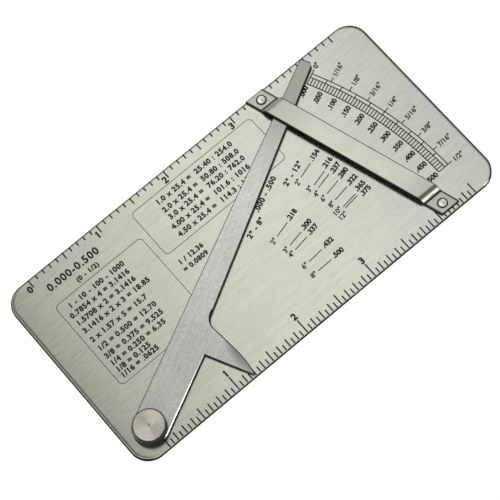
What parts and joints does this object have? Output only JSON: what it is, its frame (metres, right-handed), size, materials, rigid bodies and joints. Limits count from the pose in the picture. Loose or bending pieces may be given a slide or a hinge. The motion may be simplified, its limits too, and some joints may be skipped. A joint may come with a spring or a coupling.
{
  "type": "lever pit depth gauge",
  "caption": "Flat steel plate gauge with edge rulers and an arc scale, read by a pivoted lever with a pointed foot that swings under a slanted guide strap.",
  "frame": {"origin": "centre of the plate's back face", "axes": "+X along the rulers towards larger readings, +Y away from the measuring edge, +Z out of the engraved face"},
  "size_m": [0.1332, 0.0664, 0.006],
  "materials": {
    "plate": "brushed along the length, engraved lines filled black",
    "lever": "satin",
    "stud": "turned",
    "washer": "plain spring steel",
    "strap": "satin strip",
    "rivets": "smooth"
  },
  "bodies": {
    "body": {"base_plate": "plate", "guide_strap": "strap", "strap_rivets": "rivets", "pivot_stud": "stud", "spring_washer": "washer"},
    "lever": {"depth_lever": "lever"}
  },
  "joints": [
    {"name": "lever_swing", "type": "hinge", "parent": "body", "child": "lever", "pos_m": [-0.05785, -0.0252, 0.0025], "axis": [0, 0, 1], "range_deg": [-26.4, 0]}
  ]
}
